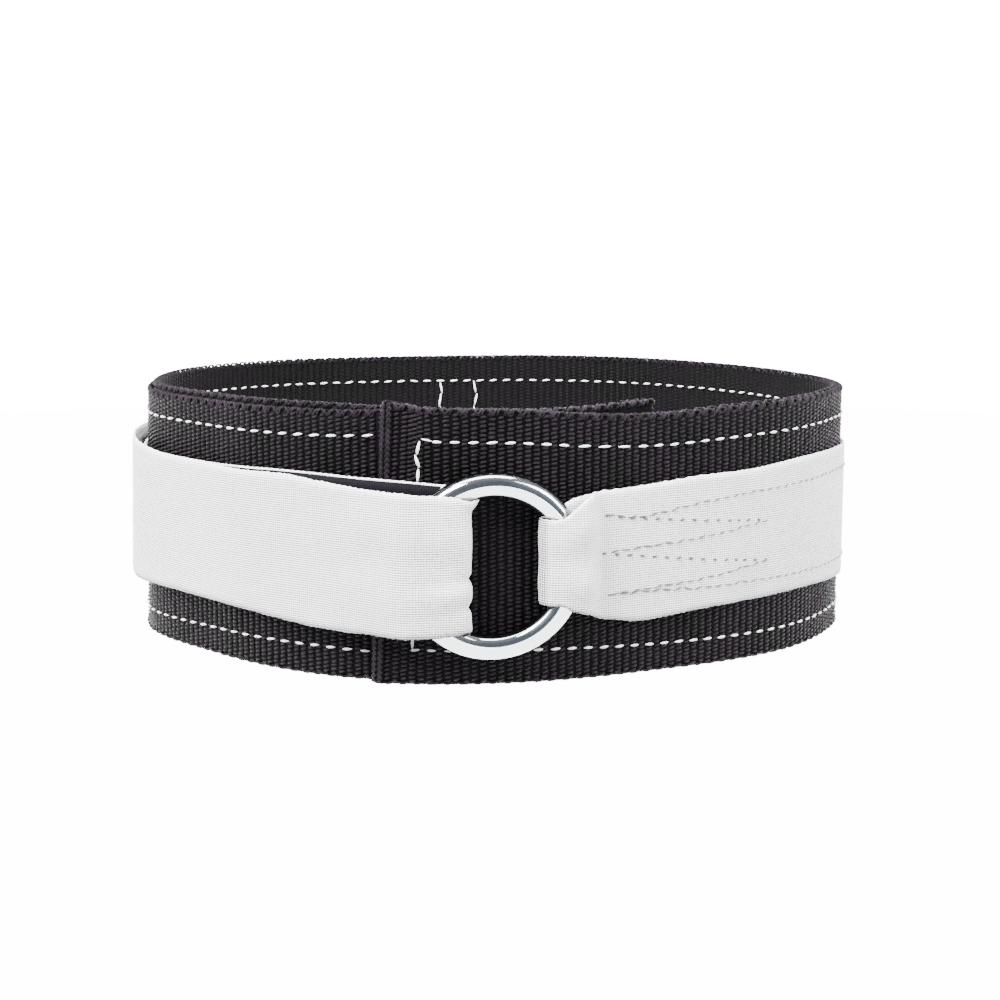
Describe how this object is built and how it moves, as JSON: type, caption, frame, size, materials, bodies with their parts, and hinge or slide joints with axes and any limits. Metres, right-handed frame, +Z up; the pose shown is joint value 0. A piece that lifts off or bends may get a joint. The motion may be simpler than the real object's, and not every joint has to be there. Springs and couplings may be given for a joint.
{
  "type": "deadlift belt",
  "caption": "Wide two-ply webbing lifting belt, closed in a loop on its lower edge, with a sewn strap drawn through a steel ring and held by touch tape.",
  "frame": {"origin": "middle of the footprint, on the ground under the belt's lower edge", "axes": "+X to the right as seen from the front, -Y towards the front with the ring, +Z up through the loop"},
  "size_m": [0.3058, 0.288, 0.1055],
  "materials": {
    "webbing": "coarse ribbed black webbing, matt with a faint sheen",
    "strap": "fine plain-weave off-white webbing, soft sheen",
    "loop_tape": "black looped pile tape, matt",
    "hook_tape": "black hook tape, matt",
    "ring": "bright plated steel"
  },
  "bodies": {
    "root": {"outer_ply": "webbing", "inner_ply": "webbing", "strap": "strap", "loop_tape": "loop_tape", "hook_tape": "hook_tape", "ring": "ring"}
  },
  "joints": []
}
